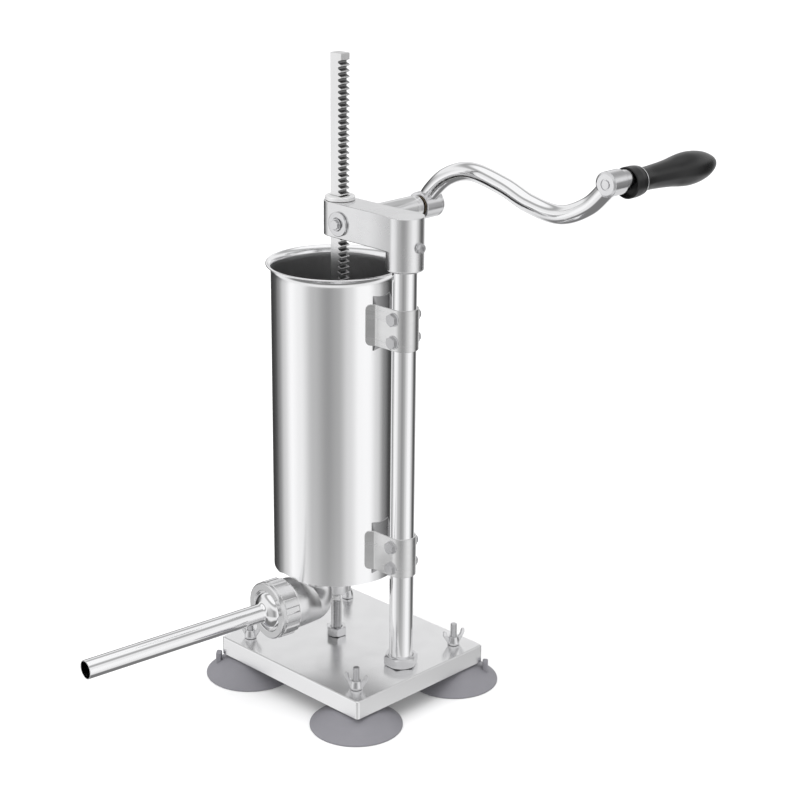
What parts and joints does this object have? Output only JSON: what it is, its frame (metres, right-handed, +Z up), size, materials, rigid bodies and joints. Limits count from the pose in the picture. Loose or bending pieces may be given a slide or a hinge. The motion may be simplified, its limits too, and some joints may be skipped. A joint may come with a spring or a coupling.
{
  "type": "sausage stuffer",
  "caption": "Upright hand-cranked sausage stuffer: steel barrel on a column and plate with suction feet, rack-driven piston, elbow outlet with nozzle.",
  "frame": {"origin": "centre of the base plate's top face", "axes": "+X from the barrel to the column, +Z up, and the nozzle points along -Y, turned 6.3 degrees towards -X"},
  "size_m": [0.3292, 0.495, 0.5722],
  "materials": {
    "polished_steel": "mirror polished stainless steel",
    "plated_steel": "bright zinc or stainless",
    "sheet_steel": "satin stainless sheet",
    "cast_aluminium": "satin casting",
    "bronze": "machined",
    "grey_rubber": "matt",
    "white_rubber": "matt, food grade",
    "white_plastic": "turned",
    "black_plastic": "glossy"
  },
  "bodies": {
    "stand": {"base_plate": "polished_steel", "suction_cup_front_left": "grey_rubber", "suction_cup_front_right": "grey_rubber", "suction_cup_rear_left": "grey_rubber", "suction_cup_rear_right": "grey_rubber", "cup_stud_front_left": "plated_steel", "cup_stud_front_right": "plated_steel", "cup_stud_rear_left": "plated_steel", "cup_stud_rear_right": "plated_steel", "column": "polished_steel", "column_foot_nut": "plated_steel", "column_washer": "plated_steel", "column_lock_nut": "plated_steel", "barrel": "polished_steel", "barrel_floor": "sheet_steel", "clamp_strap_lower": "sheet_steel", "clamp_strap_upper": "sheet_steel", "barrel_bracket_lower": "sheet_steel", "barrel_bracket_upper": "sheet_steel", "clamp_bolt_lower_top": "plated_steel", "clamp_bolt_lower_bottom": "plated_steel", "clamp_bolt_upper_top": "plated_steel", "clamp_bolt_upper_bottom": "plated_steel", "clamp_nut_lower_top": "plated_steel", "clamp_nut_lower_bottom": "plated_steel", "clamp_nut_upper_top": "plated_steel", "clamp_nut_upper_bottom": "plated_steel", "discharge_elbow": "cast_aluminium", "nozzle_gasket": "white_rubber", "nozzle": "polished_steel", "support_nut": "plated_steel", "head_casting": "cast_aluminium", "head_set_screw": "plated_steel", "rack_guide_collar": "cast_aluminium", "shaft_housing": "cast_aluminium", "rear_bush": "bronze", "front_bush": "plated_steel"},
    "crank": {"pinion_shaft": "plated_steel", "shaft_end_screw": "plated_steel", "crank_hub": "plated_steel", "crank_arm": "polished_steel", "crank_end_boss": "plated_steel", "handle_spindle": "plated_steel"},
    "grip": {"handle_ferrule": "black_plastic", "handle_grip": "black_plastic"},
    "ram": {"rack": "plated_steel", "piston_disc": "white_plastic", "piston_seal": "white_rubber", "piston_bolt": "plated_steel"},
    "valve": {"air_valve": "white_rubber"},
    "coupling": {"coupling_nut": "cast_aluminium"},
    "support": {"support_screw": "plated_steel"},
    "wing_front_left": {"wing_nut_front_left": "plated_steel"},
    "wing_front_right": {"wing_nut_front_right": "plated_steel"},
    "wing_rear_left": {"wing_nut_rear_left": "plated_steel"},
    "wing_rear_right": {"wing_nut_rear_right": "plated_steel"}
  },
  "joints": [
    {"name": "crank_turn", "type": "hinge", "parent": "stand", "child": "crank", "pos_m": [-0.00215, 0, 0.395], "axis": [0, 1, 0], "range_deg": [-722, 1278]},
    {"name": "rack_travel", "type": "slide", "parent": "stand", "child": "ram", "axis": [0, 0, 1], "range_m": [-0.1, 0.177]},
    {"name": "grip_spin", "type": "hinge", "parent": "crank", "child": "grip", "pos_m": [0.20385, 0.126, 0.4451], "axis": [0, 1, 0], "continuous": true},
    {"name": "valve_lift", "type": "slide", "parent": "ram", "child": "valve", "axis": [0, 0, 1], "range_m": [0, 0.003]},
    {"name": "coupling_nut_turn", "type": "hinge", "parent": "stand", "child": "coupling", "pos_m": [-0.0205, 0, 0.0458], "axis": [-0.1097, -0.994, 0], "continuous": true},
    {"name": "support_screw_travel", "type": "slide", "parent": "stand", "child": "support", "axis": [0, 0, 1], "range_m": [-0.012, 0]},
    {"name": "wing_nut_front_left_turn", "type": "hinge", "parent": "stand", "child": "wing_front_left", "pos_m": [-0.07, -0.062, 0.005], "axis": [0, 0, 1], "continuous": true},
    {"name": "wing_nut_front_right_turn", "type": "hinge", "parent": "stand", "child": "wing_front_right", "pos_m": [0.07, -0.062, 0.005], "axis": [0, 0, 1], "continuous": true},
    {"name": "wing_nut_rear_left_turn", "type": "hinge", "parent": "stand", "child": "wing_rear_left", "pos_m": [-0.07, 0.062, 0.005], "axis": [0, 0, 1], "continuous": true},
    {"name": "wing_nut_rear_right_turn", "type": "hinge", "parent": "stand", "child": "wing_rear_right", "pos_m": [0.07, 0.062, 0.005], "axis": [0, 0, 1], "continuous": true}
  ],
  "couplings": [
    {"joint": "rack_travel", "follows": "crank_turn", "m_per_rad": 0.0079375}
  ]
}
